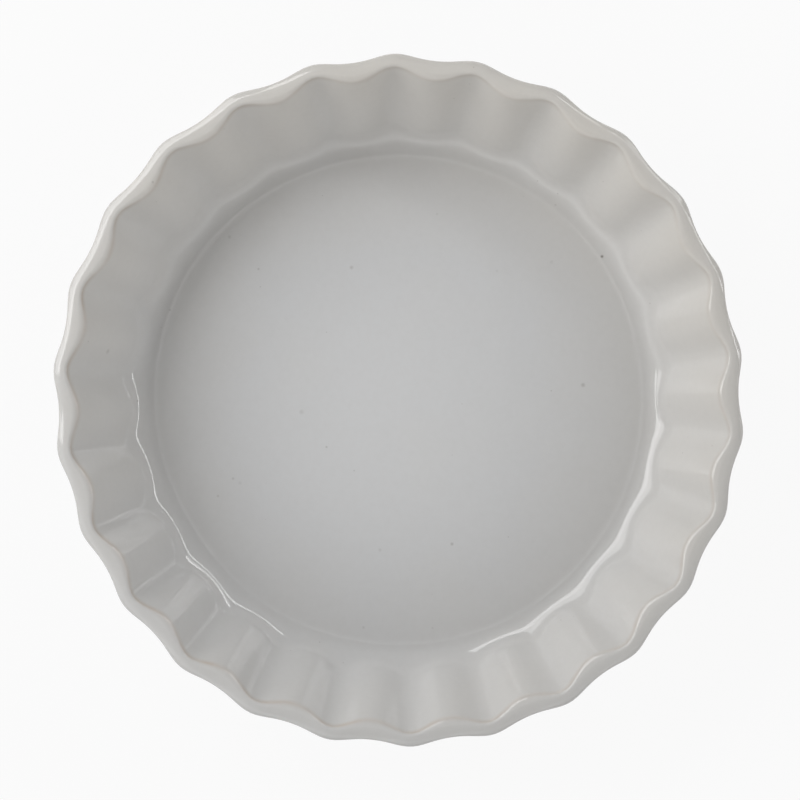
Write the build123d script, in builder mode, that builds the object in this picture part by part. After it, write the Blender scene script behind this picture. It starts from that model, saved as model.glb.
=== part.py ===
"""A round stoneware pie dish with fluted walls: the fired body, its glaze coat and the glazed patch under it.

The dish stands on its foot at height zero, centred on the Z axis, with the crest of one flute on +X.
Lengths are millimetres. Each horizontal ring of the dish is a wave around a circle, so it is written
as three numbers: mean radius, height, and depth of its flutes from crest to valley.
"""

from build123d import *
import os
from math import atan2, cos, pi, radians, sin, tan

os.makedirs("parts", exist_ok=True)

# Overall sizes, with the rim measured across the crests of opposite flutes
rim_diameter = 275.0
dish_height = 50.0
flute_count = 26

# Lip: a rolled edge, highest just outside its inner corner, scalloped less outside than inside
lip_width = 6.8
lip_scallop_depth = 2.4
inner_edge_drop = 1.0
roll_width = 3.8
roll_height = 3.0

# Well: flutes run down a leaning wall and through a cove, and have almost gone at the flat floor
well_flute_depth = 4.9
wall_foot_flute_depth = 2.7
wall_lean = 27.0
cove_radius = 13.0
cove_flute_growth = 2.2
floor_height = 6.0
floor_flute_depth = 0.3

# Outer wall, with the glaze stopping above a bare turned foot
wall_thickness = 7.5
outer_foot_height = 4.5
glaze_line_height = 2.0
glaze_line_inset = 3.0
glaze_line_flute_depth = 0.6
foot_inset = 6.0
foot_width = 8.5
recess_depth = 1.6

# Glaze, on the dish and in the recess inside the foot
glaze_thickness = 0.5
base_glaze_margin = 1.5

# Points per flute: the glaze has two arcs to a flute, and the clay that it hides has plain facets
arc_steps = 4
facet_steps = 6


def ring_points(ring, steps_per_flute):
    """The points of a ring, taken in equal steps that start on the crest of a flute."""
    radius, height, depth = ring
    steps = flute_count * steps_per_flute
    points = []
    for step in range(steps):
        angle = 2 * pi * step / steps
        reach = radius + depth / 2 * cos(flute_count * angle)
        points.append((reach * cos(angle), reach * sin(angle)))
    return points


def between(first, second, share):
    """The ring at a share of the way from one ring to another."""
    return tuple(a + (b - a) * share for a, b in zip(first, second))


def inset(rings, distance):
    """The rings moved into the clay, square to the profile that joins them, which starts level."""
    moved = []
    heading = 0.0
    for place, (radius, height, depth) in enumerate(rings):
        arriving = heading
        if place + 1 < len(rings):
            next_radius, next_height, _ = rings[place + 1]
            heading = atan2(next_height - height, next_radius - radius)
        middle = (arriving + heading) / 2
        reach = distance / cos((heading - arriving) / 2)
        moved.append((radius + reach * sin(middle), height - reach * cos(middle), depth))
    return moved


# Well of the glazed dish, from the floor up
lean = radians(wall_lean)
rim_mean = (rim_diameter - lip_scallop_depth) / 2
edge_mean = rim_mean - lip_width
edge_height = dish_height - inner_edge_drop
wall_foot_height = floor_height + cove_radius * (1 - sin(lean))
wall_foot_mean = edge_mean - (edge_height - wall_foot_height) * tan(lean)
floor_mean = wall_foot_mean - cove_radius * cos(lean)
half_cove = (pi / 2 - lean) / 2

# Rings of the well, whose flutes deepen slowly at first as they rise out of the floor
cove_middle_share = 0.5
wall_middle_share = 0.5
floor_edge = (floor_mean, floor_height, floor_flute_depth)
wall_foot = (wall_foot_mean, wall_foot_height, wall_foot_flute_depth)
cove_middle_turn = (pi / 2 - lean) * cove_middle_share
cove_growth = cove_middle_share**cove_flute_growth
cove_middle = (
    floor_mean + cove_radius * sin(cove_middle_turn),
    floor_height + cove_radius * (1 - cos(cove_middle_turn)),
    floor_flute_depth + (wall_foot_flute_depth - floor_flute_depth) * cove_growth,
)
inner_edge = (edge_mean, edge_height, well_flute_depth)
wall_middle = between(wall_foot, inner_edge, wall_middle_share)

# Lip, from its crown over a quarter of an ellipse to the upright outer side
crown_share = (lip_width - roll_width) / lip_width
roll_share = 1 - (1 - crown_share) * (1 - sin(pi / 4))
crown_depth = well_flute_depth + (lip_scallop_depth - well_flute_depth) * crown_share
roll_depth = well_flute_depth + (lip_scallop_depth - well_flute_depth) * roll_share
crown = (rim_mean - roll_width, dish_height, crown_depth)
roll = (rim_mean - roll_width * (1 - sin(pi / 4)), dish_height - roll_height * (1 - cos(pi / 4)), roll_depth)
rim_side = (rim_mean, dish_height - roll_height, lip_scallop_depth)

# Outer wall, which keeps its distance from the well's wall at the foot
outer_foot_mean = (
    edge_mean - (edge_height - outer_foot_height) * tan(lean) + wall_thickness / cos(lean)
)
outer_foot = (outer_foot_mean, outer_foot_height, lip_scallop_depth * outer_foot_mean / rim_mean)
glaze_line = (outer_foot_mean - glaze_line_inset, glaze_line_height, glaze_line_flute_depth)
outer_middle_share = 0.5
outer_middle = between(rim_side, outer_foot, outer_middle_share)

# Clay profile: the glaze pools in the cove, so the clay has a plain corner under it
corner_mean = floor_mean + cove_radius * tan(half_cove)
clay_corner = (corner_mean, floor_height, wall_foot_flute_depth)
glazed_clay = [clay_corner, inner_edge, crown, roll, rim_side, outer_foot, glaze_line]
foot_radius = outer_foot_mean - foot_inset
bare_foot = (foot_radius, 0.0, 0.0)

# Finished form of the glazed dish, down to its glaze line
with BuildPart() as glazed_form:
    well_rings = [floor_edge, cove_middle, wall_foot, wall_middle, inner_edge]
    outer_rings = [crown, roll, rim_side, outer_middle, outer_foot, glaze_line]
    for ring in well_rings + outer_rings:
        points = ring_points(ring, arc_steps)
        with BuildSketch(Plane.XY.offset(ring[1])):
            with BuildLine():
                for middle in range(0, len(points), 2):
                    ThreePointArc(points[middle - 1], points[middle], points[middle + 1])
            make_face()
    loft(ruled=True)

# Fired body: well, lip, outer wall and bare foot, with a shallow recess turned inside the foot
with BuildPart() as stoneware_body:
    for ring in inset(glazed_clay, glaze_thickness)[:-1] + [bare_foot]:
        with BuildSketch(Plane.XY.offset(ring[1])):
            with BuildLine():
                Polyline(*ring_points(ring, facet_steps), close=True)
            make_face()
    loft(ruled=True)
    with BuildSketch():
        Circle(foot_radius - foot_width)
    extrude(amount=recess_depth, mode=Mode.SUBTRACT)

# Glaze coat: what the finished form holds outside the clay
with BuildPart() as glaze_coat:
    add(glazed_form.part)
    add(stoneware_body.part, mode=Mode.SUBTRACT)

# Glazed patch on the ceiling of the recess, wiped clear of the foot
with BuildPart() as base_glaze:
    with BuildSketch(Plane.XY.offset(recess_depth)):
        Circle(foot_radius - foot_width - base_glaze_margin)
    extrude(amount=-glaze_thickness)

stoneware_body.part.label = "stoneware_body"
export_step(stoneware_body.part, "parts/stoneware_body.step")
glaze_coat.part.label = "glaze_coat"
export_step(glaze_coat.part, "parts/glaze_coat.step")
base_glaze.part.label = "base_glaze"
export_step(base_glaze.part, "parts/base_glaze.step")
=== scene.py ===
"""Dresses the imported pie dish: a glazed, fluted stoneware dish seen from straight above.

Everything is in metres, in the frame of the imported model: the foot stands at height zero, the dish is
centred on the Z axis, and the crest of one flute is on +X.
"""

from math import cos, pi, radians, sin, tan

import bpy
import numpy as np
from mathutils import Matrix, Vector


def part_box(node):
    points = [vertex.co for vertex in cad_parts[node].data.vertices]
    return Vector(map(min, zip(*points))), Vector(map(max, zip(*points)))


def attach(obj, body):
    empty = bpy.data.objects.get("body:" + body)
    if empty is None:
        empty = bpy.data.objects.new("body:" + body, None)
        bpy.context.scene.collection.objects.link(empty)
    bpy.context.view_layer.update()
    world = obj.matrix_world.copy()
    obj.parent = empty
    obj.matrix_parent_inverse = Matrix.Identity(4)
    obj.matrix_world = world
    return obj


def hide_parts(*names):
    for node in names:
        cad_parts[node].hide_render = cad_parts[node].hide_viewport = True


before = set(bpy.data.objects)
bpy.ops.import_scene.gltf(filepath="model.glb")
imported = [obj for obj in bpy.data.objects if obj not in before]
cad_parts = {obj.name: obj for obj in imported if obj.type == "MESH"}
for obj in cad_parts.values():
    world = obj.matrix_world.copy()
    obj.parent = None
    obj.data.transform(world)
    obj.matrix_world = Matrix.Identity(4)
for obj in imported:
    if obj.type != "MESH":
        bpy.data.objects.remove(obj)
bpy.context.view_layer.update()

MM = 0.001

# Sizes that the frame gives
coat_low, coat_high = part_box("glaze_coat")
patch_low, patch_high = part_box("base_glaze")
rim_crest_radius = coat_high.x
dish_height = coat_high.z
glaze_line_height = coat_low.z
recess_depth = patch_high.z
patch_radius = patch_high.x

# Sizes of the dish, as in its CAD source
flute_count = 26
lip_scallop_depth = 2.4 * MM
lip_width = 6.8 * MM
inner_edge_drop = 1.0 * MM
well_flute_depth = 4.9 * MM
wall_foot_flute_depth = 2.7 * MM
cove_flute_growth = 2.2
wall_lean = radians(27)
cove_radius = 13.0 * MM
floor_height = 6.0 * MM
wall_thickness = 7.5 * MM
outer_foot_height = 4.5 * MM
glaze_line_inset = 3.0 * MM
glaze_line_flute_depth = 0.6 * MM
foot_inset = 6.0 * MM
foot_width = 8.5 * MM
glaze_thickness = 0.5 * MM

# Outside and underside: the roundings, the share of the flutes left below the outer foot's rounding, and the
# gap that keeps the clay clear of its glaze
lip_side_height = 5.5 * MM
under_lip_radius = 6.0 * MM
outer_foot_radius = 3.0 * MM
outer_foot_flute_share = 0.8
foot_edge_radius = 0.8 * MM
recess_corner_radius = 0.4 * MM
patch_top_rounding_share = 1 / 3
patch_edge_rounding_share = 1 / 2
clay_clearance = 0.02 * MM

# Lip: rounded over from the wall, falling gently outwards and then more, and rolled into its outer side
lip_top_fall = radians(3)
lip_outer_fall = radians(30)
lip_shoulder_inset = 2.5 * MM
inner_edge_radius = 2.7 * MM
lip_shoulder_radius = 8.0 * MM
lip_roll_radius = 1.6 * MM
lip_top_flute_depth = 3.0 * MM
lip_shoulder_flute_depth = 1.8 * MM

# Hand-made unevenness, in angles of the photograph: harmonic, reach and phase of the rim's outline
crest_angle_in_photo = radians(8.3)
rim_warps = [(2, 0.34 * MM, 116), (3, 0.57 * MM, -108), (4, 0.28 * MM, 132), (7, 0.17 * MM, 115)]
flute_drift = radians(0.75)
flute_drift_angle = radians(50)
crest_sharpness_share = 0.08

# Glaze that breaks to tan over the inner edge: place and reach of the line, and its strength, which swings
# around the dish and across each flute
break_inset = 6.8 * MM
break_reach = 0.9 * MM
break_angle_in_photo = radians(215)
break_mean_around = 0.75
break_swing_around = 0.35
break_phase = radians(30)
break_mean_across = 0.75
break_swing_across = 0.25

# Glaze that thins and warms from inside the floor's edge up to the lip and on ridges, plus a warm tint on one
# side that is painted warm bounce light
warm_floor_start = 60 * MM
warm_floor_end = 98 * MM
# Painted warm bounce light: the side where the glaze's warm tint is raised, and by how much
painted_warm_light_angle_in_photo = radians(65)
painted_warm_light_swing = 0.43
thinness_past_floor = 0.38
thinness_gain_to_rim = 0.28
thinness_in_hollows = 0.93
thinness_gain_on_ridges = 0.15

# Colours of the glaze and of the bare clay
thick_glaze_colour = (0.590, 0.593, 0.596)
# The warm colour of thin glaze, also used for the painted warm bounce light on one side
thin_glaze_and_warm_light_colour = (0.613, 0.588, 0.547)
glaze_grain_colour = (0.42, 0.41, 0.39)
tan_break_colour = (0.53, 0.465, 0.405)
iron_speck_colour = (0.19, 0.17, 0.15)
dark_clay_colour = (0.50, 0.41, 0.31)
pale_clay_colour = (0.62, 0.53, 0.42)

# Patterns in the glaze and in the clay, and how strongly each shows
noise_middle = 0.5
cloud_noise = {"Scale": 24.0, "Detail": 3.0}
cloud_strength = 0.35
grain_noise = {"Scale": 420.0, "Detail": 3.0}
grain_strength = 0.16
grain_mean = 0.02
ragged_noise = {"Scale": 140.0, "Detail": 3.0}
ragged_strength = 1.2
ragged_least = 0.1
peel_noise = {"Scale": 75.0, "Detail": 2.0}
peel_height = 0.05 * MM
grit_noise = {"Scale": 900.0, "Detail": 4.0}
grit_height = 0.1 * MM

# Surface of the glaze and of the clay
glaze_roughness = 0.035
glaze_refraction = 1.5
clay_roughness = 0.85

# Small specks anywhere, by cells of noise, with their edge and core in shares of a cell
speck_cell_scale = 90.0
small_speck_edge = 0.035
small_speck_core = 0.012
small_speck_strength = 0.4
speck_core_share = 0.2
speck_cover = 0.85

# Frame of the photograph in pixels, and the camera above the rim
photo_side = 800
photo_centre = (399.2, 399.2)
rim_crest_radius_px = 347.2
camera_distance = 1.3
sensor_width = 36.0
sight_rounds = 8

# Iron specks and pinholes that stand out in the photograph: column, row, radius, strength
speck_places_px = {
    "wall_left_upper": (107, 351, 1.5 * MM, 0.34),
    "wall_left_lower": (105, 483, 1.3 * MM, 0.4),
    "wall_top": (536, 151, 0.5 * MM, 0.25),
    "wall_lower_right": (574, 617, 0.7 * MM, 0.2),
    "cove_left": (137.2, 401, 0.55 * MM, 0.75),
    "cove_left_upper": (170, 310, 0.65 * MM, 0.3),
    "cove_upper_right": (602, 256.5, 0.85 * MM, 1.0),
    "cove_upper_right_small": (555.5, 205, 0.6 * MM, 0.25),
    "floor_middle": (301.5, 412, 1.3 * MM, 0.22),
    "floor_left": (326.5, 447, 0.6 * MM, 0.45),
    "floor_lower_left": (218, 496, 0.7 * MM, 0.3),
    "floor_lower_left_inner": (233, 478.5, 0.7 * MM, 0.32),
    "floor_lower_left_smudge": (240, 483, 1.0 * MM, 0.15),
    "floor_upper_left": (258.5, 269, 0.65 * MM, 0.4),
    "floor_upper_left_edge": (229.5, 237, 0.95 * MM, 0.22),
    "floor_upper": (351.5, 267.5, 1.05 * MM, 0.34),
    "floor_upper_middle": (437, 214, 0.7 * MM, 0.18),
    "floor_upper_right": (551.5, 262, 1.0 * MM, 0.13),
    "floor_upper_right_inner": (497, 271, 0.8 * MM, 0.12),
    "floor_right": (583, 385, 1.15 * MM, 0.4),
    "floor_lower": (452, 544, 0.9 * MM, 0.45),
    "floor_lower_middle": (380, 550, 0.95 * MM, 0.2),
    "floor_bottom": (363.5, 627.5, 0.8 * MM, 0.22),
    "floor_bottom_right": (432.5, 628, 0.6 * MM, 0.2),
    "lip_left_pinhole": (152.7, 182, 0.7 * MM, 0.45),
    "lip_top_pinhole": (244, 96.5, 0.75 * MM, 0.32),
    "lip_top_pinhole_end": (241.5, 97.8, 0.75 * MM, 0.32),
}

# Glow of the studio's walls: sine of its height, its reach, and its strength by angle in the photograph
wall_glows = {
    "low": (0.25, 0.12, {0: 0.67, 180: 0.15, 270: 0.75}),
    "middle": (0.53, 0.17, {0: 0.45, 180: 1.12, 270: 1.82}),
    "high": (0.8, 0.12, {0: 0.53, 90: 0.33, 180: 0.46, 270: 0.2}),
}
overhead_glow = 1.05
overhead_sharpness = 600.0
studio_brightness = 1.015

# Softboxes that face the dish: angle in the photograph, elevation, distance, width, height, radiance
softboxes = {
    "key_softbox": (144, 44, 1.4, 1.5, 0.3, 4.65),
    "key_softbox_low": (149, 29, 1.4, 1.5, 0.44, 2.95),
    "key_softbox_lowest": (147, 13, 1.4, 1.5, 0.3, 0.6),
}

# Upright panels: angle in the photograph and distance of each end, height of the lower edge, height, radiance
panels = {
    "side_strip": ((61, 0.88), (24, 1.124), 0.61, 0.12, 6.0),
    "side_strip_far": ((24, 1.124), (-7, 2.51), 0.6, 0.13, 7.0),
    "side_strip_low": ((51, 1.7), (34, 1.05), 0.36, 0.11, 6.5),
    "side_glow": ((50, 1.5), (35, 1.1), 0.42, 0.22, 2.6),
}

# Studio floor, with the share of its look that is plain white to the camera and in reflections
stage_half_width = 3.0
stage_colour = (0.6, 0.6, 0.6, 1)
stage_roughness = 0.9
stage_white_share = 0.92

# Mesh density
columns_per_flute = 15
line_step = 2.0 * MM
floor_step = 5.0 * MM
turn_step = radians(5)
least_turn_steps = 3
least_length = 1e-15


def unit(vector):
    return vector / np.linalg.norm(vector)


def rounded_corner(before, corner, after, radius):
    """The points of an arc that rounds a corner between two straight runs of a profile."""
    back = unit(before - corner)
    ahead = unit(after - corner)
    half = np.arccos(np.clip(back @ ahead, -1, 1)) / 2
    centre = corner + unit(back + ahead) * radius / sin(half)
    start = corner + back * radius / tan(half) - centre
    end = corner + ahead * radius / tan(half) - centre
    turn = pi - 2 * half
    steps = max(least_turn_steps, round(turn / turn_step))
    shares = np.arange(steps + 1) / steps
    points = [start * sin((1 - s) * turn) + end * sin(s * turn) for s in shares]
    return centre + np.array(points) / sin(turn)


def rounded_profile(start, corners, end, step):
    """Rings of a profile through rounded corners, as rows of mean radius, height and flute depth.

    start and end are (radius, height, depth), and a corner is (radius, height, rounding, depth where its
    arc starts, depth where it ends, power by which the depth grows along the arc).
    """
    places = [np.array(p[:2]) for p in [start, *corners, end]]
    rows = [tuple(start)]

    def run_to(point, depth):
        last = np.array(rows[-1])
        target = np.array([*point, depth])
        count = max(1, round(np.linalg.norm(target[:2] - last[:2]) / step))
        rows.extend(tuple(last + (target - last) * k / count) for k in range(1, count + 1))

    for number, (_, _, rounding, depth_in, depth_out, growth) in enumerate(corners, 1):
        arc = rounded_corner(places[number - 1], places[number], places[number + 1], rounding)
        run_to(arc[0], depth_in)
        depths = depth_in + (depth_out - depth_in) * np.linspace(0, 1, len(arc)) ** growth
        rows.extend((*point, depth) for point, depth in zip(arc[1:], depths[1:]))
    run_to(end[:2], end[2])
    return np.array(rows)


def flute_waves():
    """The angle of each column of a ring, there and in the photograph, and its phase within a flute."""
    columns = flute_count * columns_per_flute
    angle = np.arange(columns) * 2 * pi / columns
    in_photo = angle + crest_angle_in_photo
    phase = flute_count * (angle + flute_drift * np.cos(in_photo - flute_drift_angle))
    return angle, in_photo, phase


def fluted_grid(rings):
    """The points of every ring, as an array of rings by columns by three."""
    angle, in_photo, phase = flute_waves()
    wave = np.cos(phase) + crest_sharpness_share * np.cos(2 * phase)
    warp = sum(reach * np.cos(k * in_photo + radians(turn)) for k, reach, turn in rim_warps)
    radius, height, depth = (rings[:, i, None] for i in range(3))
    reach = radius + depth / 2 * wave + warp * radius / rim_crest_radius
    return np.stack([reach * np.cos(angle), reach * np.sin(angle), height + 0 * reach], axis=2)


def outward(grid):
    """Unit normals of a grid of rings that starts at the pole and runs out, on its upper and outer side."""
    around = np.roll(grid, -1, axis=1) - np.roll(grid, 1, axis=1)
    along = np.gradient(grid, axis=0)
    normal = np.cross(along, around)
    normal /= np.maximum(np.linalg.norm(normal, axis=2, keepdims=True), least_length)
    return normal


def closed_mesh(name, skins, values=None):
    """A closed mesh from rings of points, whose first and last ring are each drawn in to a pole.

    values holds named arrays, one number to a grid point, that become attributes of the mesh.
    """
    rings, columns = skins.shape[:2]
    poles = [skins[0].mean(axis=0), skins[-1].mean(axis=0)]
    points = np.concatenate([skins.reshape(-1, 3), poles])
    ring = np.arange(rings - 1)[:, None] * columns
    here = np.arange(columns)[None]
    ahead = (here + 1) % columns
    quads = np.stack([ring + here, ring + columns + here, ring + columns + ahead, ring + ahead], axis=2)
    last = (rings - 1) * columns
    faces = quads.reshape(-1, 4).tolist()
    for column in range(columns):
        following = (column + 1) % columns
        faces.append((rings * columns, column, following))
        faces.append((rings * columns + 1, last + following, last + column))
    mesh = bpy.data.meshes.new(name)
    mesh.from_pydata(points.tolist(), [], faces)
    mesh.polygons.foreach_set("use_smooth", [True] * len(mesh.polygons))
    for key, numbers in (values or {}).items():
        attribute = mesh.attributes.new(key, "FLOAT", "POINT")
        attribute.data.foreach_set("value", np.concatenate([numbers.ravel(), [0, 0]]).astype(np.float32))
    mesh.update()
    piece = bpy.data.objects.new(name, mesh)
    bpy.context.scene.collection.objects.link(piece)
    return piece


def glazed_rings():
    """The finished surface from the middle of the floor, up the well and over the lip to the glaze line."""
    rim_mean = rim_crest_radius - lip_scallop_depth / 2
    edge_mean = rim_mean - lip_width
    edge_height = dish_height - inner_edge_drop
    corner_mean = edge_mean - (edge_height - floor_height) * tan(wall_lean)
    outer_foot_mean = edge_mean - (edge_height - outer_foot_height) * tan(wall_lean)
    outer_foot_mean += wall_thickness / cos(wall_lean)
    outer_foot_depth = lip_scallop_depth * outer_foot_mean / rim_mean
    below_foot_depth = outer_foot_depth * outer_foot_flute_share

    # Corners of the lip, the first of them as high as puts the top of its rounding at the dish's height
    turn = pi / 2 - wall_lean + lip_top_fall
    rise = inner_edge_radius * (tan(turn / 2) * sin(lip_top_fall) + cos(lip_top_fall) - 1)
    top_height = dish_height + rise
    top_mean = edge_mean + (top_height - edge_height) * tan(wall_lean)
    shoulder_mean = rim_mean - lip_shoulder_inset
    shoulder_height = top_height - (shoulder_mean - top_mean) * tan(lip_top_fall)
    shoulder = (shoulder_mean, shoulder_height, lip_shoulder_radius)
    side_top = shoulder_height - lip_shoulder_inset * tan(lip_outer_fall)
    corners = [
        (corner_mean, floor_height, cove_radius, 0.0, wall_foot_flute_depth, cove_flute_growth),
        (top_mean, top_height, inner_edge_radius, well_flute_depth, lip_top_flute_depth, 1),
        (*shoulder, lip_top_flute_depth, lip_shoulder_flute_depth, 1),
        (rim_mean, side_top, lip_roll_radius, lip_shoulder_flute_depth, lip_scallop_depth, 1),
        (rim_mean, dish_height - lip_side_height, under_lip_radius, lip_scallop_depth, lip_scallop_depth, 1),
        (outer_foot_mean, outer_foot_height, outer_foot_radius, outer_foot_depth, below_foot_depth, 1),
    ]
    end = (outer_foot_mean - glaze_line_inset, glaze_line_height, glaze_line_flute_depth)
    floor = [(radius, floor_height, 0.0) for radius in np.arange(floor_step, warm_floor_end, floor_step)]
    rest = rounded_profile((warm_floor_end, floor_height, 0.0), corners, end, line_step)
    return np.concatenate([floor, rest])


def foot_rings(start):
    """The bare foot below the glaze line, its flat underside and the recess inside it."""
    foot_radius = start[0] - foot_inset + glaze_line_inset
    inner_radius = foot_radius - foot_width
    corners = [
        (foot_radius, 0.0, foot_edge_radius, 0.0, 0.0, 1),
        (inner_radius, 0.0, foot_edge_radius, 0.0, 0.0, 1),
        (inner_radius, recess_depth, recess_corner_radius, 0.0, 0.0, 1),
    ]
    return rounded_profile(start, corners, (floor_step, recess_depth, 0.0), floor_step)


def patch_rings():
    """The patch of glaze on the recess's ceiling, from the middle of its top to that of its underside."""
    drop = patch_high.z - patch_low.z
    corners = [
        (patch_radius, patch_high.z, drop * patch_top_rounding_share, 0.0, 0.0, 1),
        (patch_radius, patch_low.z, drop * patch_edge_rounding_share, 0.0, 0.0, 1),
    ]
    start = (floor_step, patch_high.z, 0.0)
    return rounded_profile(start, corners, (floor_step, patch_low.z, 0.0), floor_step)


def glaze_values(rings):
    """How much the glaze breaks to tan, and how thin it is, with painted warm bounce light added as extra
    thinness on one side, at each point of the glazed surface.
    """
    _, in_photo, phase = flute_waves()
    radius, height, depth = rings.T
    highest = int(np.argmax(height))
    run = np.concatenate([[0], np.cumsum(np.hypot(np.diff(radius), np.diff(height)))])
    break_mean = rim_crest_radius - lip_scallop_depth / 2 - break_inset
    inner_side = np.arange(len(radius)) <= highest
    near = np.argmin(np.where(inner_side, np.abs(radius - break_mean), np.inf))
    line = np.exp(-(((run - run[near]) / break_reach) ** 2))
    around = break_mean_around + break_swing_around * np.cos(in_photo - break_angle_in_photo)
    across = break_mean_across + break_swing_across * np.cos(phase - break_phase)
    breaking = line[:, None] * around * across
    risen = np.clip((height - floor_height) / (dish_height - floor_height), 0, 1)
    spread = np.clip((radius - warm_floor_start) / (warm_floor_end - warm_floor_start), 0, 1)
    ridge = depth[:, None] / well_flute_depth * (1 - np.cos(phase)) / 2
    # Painted warm bounce light: the thinness, and so the warm tint, is raised on one side
    painted_warm_light_side = 1 + painted_warm_light_swing * np.cos(in_photo - painted_warm_light_angle_in_photo)
    thinness_and_warm_light = (thinness_past_floor * spread + thinness_gain_to_rim * risen)[:, None]
    thinness_and_warm_light = thinness_and_warm_light * (thinness_in_hollows + thinness_gain_on_ridges * ridge) * painted_warm_light_side
    return breaking, thinness_and_warm_light


def place_seen_at(column, row, rings):
    """The point of the glazed surface that the photograph shows at a pixel."""
    highest = int(np.argmax(rings[:, 1]))
    slope = rim_crest_radius / rim_crest_radius_px / camera_distance
    across = (column - photo_centre[0]) * slope
    up = (photo_centre[1] - row) * slope
    height = floor_height
    for _ in range(sight_rounds):
        depth = dish_height + camera_distance - height
        height = np.interp(np.hypot(across, up) * depth, rings[:highest, 0], rings[:highest, 1])
    turn = np.arctan2(up, across) - crest_angle_in_photo
    radius = np.hypot(across, up) * depth
    return Vector((radius * cos(turn), radius * sin(turn), height))


def adder(tree):
    """A function that adds a node to a tree, with its settings, and its inputs as values or links."""

    def add(kind, inputs=(), **settings):
        node = tree.nodes.new(kind)
        for key, value in settings.items():
            setattr(node, key, value)
        for key, value in dict(inputs).items():
            if isinstance(value, bpy.types.NodeSocket):
                tree.links.new(value, node.inputs[key])
            else:
                node.inputs[key].default_value = value
        return node

    return add


def calculator(add):
    """A function that adds a Math node and gives its output."""

    def calculate(operation, *values):
        return add("ShaderNodeMath", dict(enumerate(values)), operation=operation).outputs[0]

    return calculate


def node_tree(name):
    """A new material with its tree and shader, and the function that adds nodes to it."""
    material = bpy.data.materials.new(name)
    material.use_nodes = True
    tree = material.node_tree
    return material, tree, tree.nodes["Principled BSDF"], adder(tree)


def mixed_colour(tree, add, share, first, second):
    """A colour between two colours, each of which is a socket or a plain colour."""
    # Inputs 0, 6 and 7 are the share and the two colours, and output 2 is the mixed colour
    mix = add("ShaderNodeMix", data_type="RGBA")
    for place, value in ((0, share), (6, first), (7, second)):
        if isinstance(value, bpy.types.NodeSocket):
            tree.links.new(value, mix.inputs[place])
        elif place:
            mix.inputs[place].default_value = (*value, 1)
        else:
            mix.inputs[place].default_value = value
    return mix.outputs[2]


def noise(add, place, pattern):
    """The strength of a noise pattern, given as the values of its inputs, at a place."""
    return add("ShaderNodeTexNoise", {"Vector": place, **pattern}).outputs["Fac"]


def glaze_material(rings):
    """Glossy off-white glaze: cool where thick, warm where thin and on one side as painted warm bounce light,
    tan where it breaks, with iron specks.
    """
    material, tree, shader, add = node_tree("off_white_glaze")
    calculate = calculator(add)
    place = add("ShaderNodeTexCoord").outputs["Object"]

    # Thick and thin glaze, with soft clouds and fine grain, and a warm tint on one side that is painted warm
    # bounce light
    thinness_and_warm_light = add("ShaderNodeAttribute", attribute_name="thinness_and_warm_light").outputs["Fac"]
    cloud = noise(add, place, cloud_noise)
    grain = noise(add, place, grain_noise)
    spread = calculate("MULTIPLY_ADD", calculate("SUBTRACT", cloud, noise_middle), cloud_strength, thinness_and_warm_light)
    colour = mixed_colour(tree, add, spread, thick_glaze_colour, thin_glaze_and_warm_light_colour)
    darker = calculate("MULTIPLY_ADD", calculate("SUBTRACT", grain, noise_middle), grain_strength, grain_mean)
    colour = mixed_colour(tree, add, darker, colour, glaze_grain_colour)

    # The tan line on the inner edge, with a ragged strength
    breaking = add("ShaderNodeAttribute", attribute_name="breaking").outputs["Fac"]
    ragged = noise(add, place, ragged_noise)
    patchy = calculate("MULTIPLY_ADD", ragged, ragged_strength, ragged_least)
    shown = calculate("MULTIPLY", breaking, patchy)
    colour = mixed_colour(tree, add, shown, colour, tan_break_colour)

    # Small specks anywhere, where a cell's point lies close to the surface
    cells = add("ShaderNodeTexVoronoi", {"Vector": place, "Scale": speck_cell_scale})
    limits = {"Value": cells.outputs["Distance"], "From Min": small_speck_edge, "From Max": small_speck_core}
    small = add("ShaderNodeMapRange", limits)
    specks = calculate("MULTIPLY", small.outputs[0], small_speck_strength)
    for column, row, radius, strength in speck_places_px.values():
        spot = place_seen_at(column, row, rings)
        gap = add("ShaderNodeVectorMath", {0: place, 1: spot}, operation="DISTANCE").outputs["Value"]
        core = radius * speck_core_share
        limits = {"Value": gap, "From Min": radius, "From Max": core, "To Max": strength}
        specks = calculate("MAXIMUM", specks, add("ShaderNodeMapRange", limits).outputs[0])
    colour = mixed_colour(tree, add, calculate("MULTIPLY", specks, speck_cover), colour, iron_speck_colour)
    tree.links.new(colour, shader.inputs["Base Color"])

    # A fired gloss with a faint orange peel
    peel = noise(add, place, peel_noise)
    bump = add("ShaderNodeBump", {"Height": peel, "Strength": 1.0, "Distance": peel_height})
    tree.links.new(bump.outputs["Normal"], shader.inputs["Normal"])
    shader.inputs["Roughness"].default_value = glaze_roughness
    shader.inputs["IOR"].default_value = glaze_refraction
    return material


def clay_material():
    """Bare fired stoneware, matt and gritty."""
    material, tree, shader, add = node_tree("bare_stoneware")
    place = add("ShaderNodeTexCoord").outputs["Object"]
    grit = noise(add, place, grit_noise)
    colour = mixed_colour(tree, add, grit, dark_clay_colour, pale_clay_colour)
    tree.links.new(colour, shader.inputs["Base Color"])
    bump = add("ShaderNodeBump", {"Height": grit, "Strength": 1.0, "Distance": grit_height})
    tree.links.new(bump.outputs["Normal"], shader.inputs["Normal"])
    shader.inputs["Roughness"].default_value = clay_roughness
    return material


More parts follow.
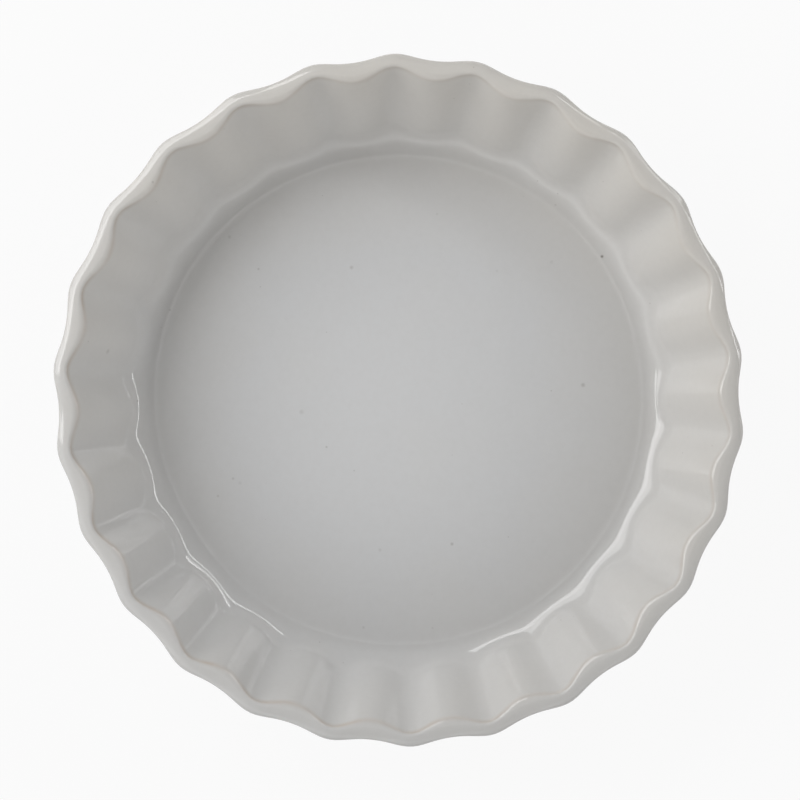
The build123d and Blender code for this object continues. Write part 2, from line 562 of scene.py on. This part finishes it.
def make_dish():
    """The glaze coat, the clay under it and the glazed patch in the recess."""
    rings = glazed_rings()
    surface = fluted_grid(rings)
    skin = outward(surface)
    breaking, thinness_and_warm_light = glaze_values(rings)
    under = surface - skin * glaze_thickness
    values = {
        "breaking": np.concatenate([breaking, 0 * breaking]),
        # The thinness attribute also carries the painted warm bounce light on one side
        "thinness_and_warm_light": np.concatenate([thinness_and_warm_light, thinness_and_warm_light]),
    }
    coat = closed_mesh("dish_glaze", np.concatenate([surface, under[::-1]]), values)
    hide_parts("glaze_coat")
    coat.data.materials.append(glaze_material(rings))

    clay_top = surface - skin * (glaze_thickness + clay_clearance)
    foot = fluted_grid(foot_rings((*rings[-1][:2], glaze_line_flute_depth)))
    clay = closed_mesh("dish_clay", np.concatenate([clay_top[:-1], foot]))
    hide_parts("stoneware_body")
    clay.data.materials.append(clay_material())

    patch = closed_mesh("recess_patch", fluted_grid(patch_rings()))
    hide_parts("base_glaze")
    patch.data.materials.append(coat.data.materials[0])
    for piece in (coat, clay, patch):
        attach(piece, "root")


def make_floor():
    """A pale floor that reads as white to the camera and keeps the dish's shadow."""
    mesh = bpy.data.meshes.new("studio_floor")
    half = stage_half_width
    corners = [(-half, -half, 0), (half, -half, 0), (half, half, 0), (-half, half, 0)]
    mesh.from_pydata(corners, [], [(0, 1, 2, 3)])
    floor = bpy.data.objects.new("studio_floor", mesh)
    bpy.context.scene.collection.objects.link(floor)
    material, tree, shader, add = node_tree("pale_floor")
    calculate = calculator(add)
    shader.inputs["Base Color"].default_value = stage_colour
    shader.inputs["Roughness"].default_value = stage_roughness
    rays = add("ShaderNodeLightPath").outputs
    seen = calculate("MAXIMUM", rays["Is Camera Ray"], rays["Is Glossy Ray"])
    seen = calculate("MAXIMUM", seen, rays["Is Transmission Ray"])
    glow = add("ShaderNodeEmission", {"Color": (1, 1, 1, 1), "Strength": 1.0})
    mixed = add("ShaderNodeMixShader", {"Fac": calculate("MULTIPLY", seen, stage_white_share)})
    tree.links.new(shader.outputs[0], mixed.inputs[1])
    tree.links.new(glow.outputs[0], mixed.inputs[2])
    tree.links.new(mixed.outputs[0], tree.nodes["Material Output"].inputs["Surface"])
    mesh.materials.append(material)


def way_in_photo(azimuth, elevation=0.0):
    """A direction given by its angle in the photograph and its height above the floor, in degrees."""
    turn = radians(azimuth) - crest_angle_in_photo
    rise = radians(elevation)
    return Vector((cos(turn) * cos(rise), sin(turn) * cos(rise), sin(rise)))


def add_lamp(name, place, way, width, tall, radiance):
    """A rectangular softbox at a place, whose back faces the given way."""
    lamp = bpy.data.lights.new(name, "AREA")
    lamp.shape = "RECTANGLE"
    lamp.size = width
    lamp.size_y = tall
    lamp.energy = radiance * studio_brightness * pi * width * tall
    softbox = bpy.data.objects.new(name, lamp)
    softbox.location = place
    softbox.rotation_euler = way.to_track_quat("Z", "Y").to_euler()
    softbox.visible_camera = False
    bpy.context.scene.collection.objects.link(softbox)
    return softbox


def add_softbox(name, azimuth, elevation, distance, width, tall, radiance):
    """A softbox that faces the dish from a direction given in angles of the photograph, in degrees."""
    way = way_in_photo(azimuth, elevation)
    return add_lamp(name, way * distance, way, width, tall, radiance)


def add_panel(name, near, far, low, tall, radiance):
    """An upright panel whose lower edge runs at a height between two places, each an angle in the photograph
    and a distance from the dish."""
    first, second = (way_in_photo(azimuth) * distance for azimuth, distance in (near, far))
    along = second - first
    way = Vector((along.y, -along.x, 0)).normalized()
    if way.dot(first) < 0:
        way = -way
    place = (first + second) / 2 + Vector((0, 0, low + tall / 2))
    return add_lamp(name, place, way, along.length, tall, radiance)


def make_world():
    """A soft studio: dim walls at three heights, each brighter on some sides, and a glow overhead."""
    world = bpy.data.worlds.new("studio")
    world.use_nodes = True
    tree = world.node_tree
    add = adder(tree)
    calculate = calculator(add)
    direction = add("ShaderNodeTexCoord").outputs["Generated"]
    height = add("ShaderNodeSeparateXYZ", {0: direction}).outputs["Z"]
    overhead = calculate("POWER", calculate("MAXIMUM", height, 0.0), overhead_sharpness)
    level = calculate("MULTIPLY", overhead, overhead_glow)
    for middle, reach, sides in wall_glows.values():
        around = 0.0
        for azimuth, strength in sides.items():
            side = way_in_photo(azimuth)
            facing = add("ShaderNodeVectorMath", {0: direction, 1: side}, operation="DOT_PRODUCT")
            facing = calculate("MAXIMUM", facing.outputs["Value"], 0.0)
            around = calculate("MULTIPLY_ADD", facing, strength, around)
        away = calculate("DIVIDE", calculate("SUBTRACT", height, middle), reach)
        band = calculate("EXPONENT", calculate("MULTIPLY", calculate("MULTIPLY", away, away), -1.0))
        level = calculate("MULTIPLY_ADD", band, around, level)
    level = calculate("MULTIPLY", level, studio_brightness)
    tree.links.new(level, tree.nodes["Background"].inputs["Strength"])
    tree.nodes["Background"].inputs["Color"].default_value = (1, 1, 1, 1)
    bpy.context.scene.world = world


def make_lights():
    for name, setting in softboxes.items():
        add_softbox(name, *setting)
    for name, setting in panels.items():
        add_panel(name, *setting)
    make_world()


def make_camera():
    """Straight above the dish, turned so that its flutes stand as in the photograph."""
    pixel = rim_crest_radius / rim_crest_radius_px
    lens = bpy.data.cameras.new("overhead")
    lens.sensor_width = sensor_width
    lens.lens = lens.sensor_width * camera_distance / (photo_side * pixel)
    lens.shift_x = (photo_side / 2 - photo_centre[0]) / photo_side
    lens.shift_y = (photo_centre[1] - photo_side / 2) / photo_side
    camera = bpy.data.objects.new("overhead", lens)
    camera.location = (0, 0, dish_height + camera_distance)
    camera.rotation_euler = (0, 0, -crest_angle_in_photo)
    bpy.context.scene.collection.objects.link(camera)
    bpy.context.scene.camera = camera


make_camera()
make_dish()
make_floor()
make_lights()
bpy.context.scene.view_settings.view_transform = "Standard"
